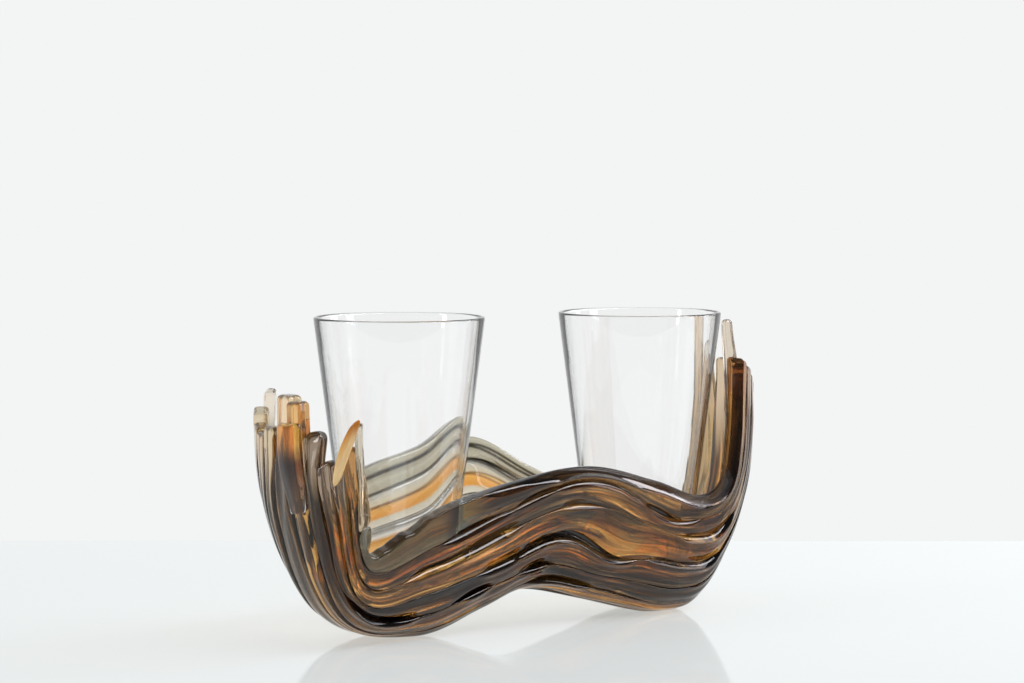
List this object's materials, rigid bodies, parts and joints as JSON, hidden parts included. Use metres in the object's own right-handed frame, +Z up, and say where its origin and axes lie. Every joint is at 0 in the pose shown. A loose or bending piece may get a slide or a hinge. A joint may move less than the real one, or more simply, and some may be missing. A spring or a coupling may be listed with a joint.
{
  "type": "art glass vase",
  "caption": "Wavy kiln-formed glass trough of fused amber and smoky strips, with clear tumblers that lift out of its wells to hold cut flowers.",
  "frame": {"origin": "middle of the whole object's box, on the surface that it stands on", "axes": "+X along the row of tumblers towards the tall upright end, -Y the front, +Z up"},
  "size_m": [0.2764, 0.0984, 0.1579],
  "materials": {
    "smoky_glass": "fire-polished",
    "amber_glass": "fire-polished",
    "pale_glass": "fire-polished",
    "grey_glass": "fire-polished, with a broken edge",
    "clear_glass": "polished"
  },
  "bodies": {
    "cradle": {"front_edge_strip": "smoky_glass", "front_flake": "grey_glass", "clear_end_finger": "pale_glass", "front_strip_2": "smoky_glass", "front_strip_3": "amber_glass", "front_strip_4": "smoky_glass", "front_strip_5": "smoky_glass", "front_strip_6": "amber_glass", "floor_strip": "smoky_glass", "rear_strip_1": "amber_glass", "rear_strip_2": "smoky_glass", "rear_strip_3": "amber_glass", "rear_strip_4": "pale_glass", "rear_strip_5": "pale_glass", "amber_outer_finger": "amber_glass", "amber_leaf": "amber_glass"},
    "left_tumbler": {"left_tumbler": "clear_glass"},
    "right_tumbler": {"right_tumbler": "clear_glass"}
  },
  "joints": [
    {"name": "left_tumbler_lift", "type": "slide", "parent": "cradle", "child": "left_tumbler", "axis": [0, 0, 1], "range_m": [0, 0.14]},
    {"name": "right_tumbler_lift", "type": "slide", "parent": "cradle", "child": "right_tumbler", "axis": [0, 0, 1], "range_m": [0, 0.14]}
  ]
}
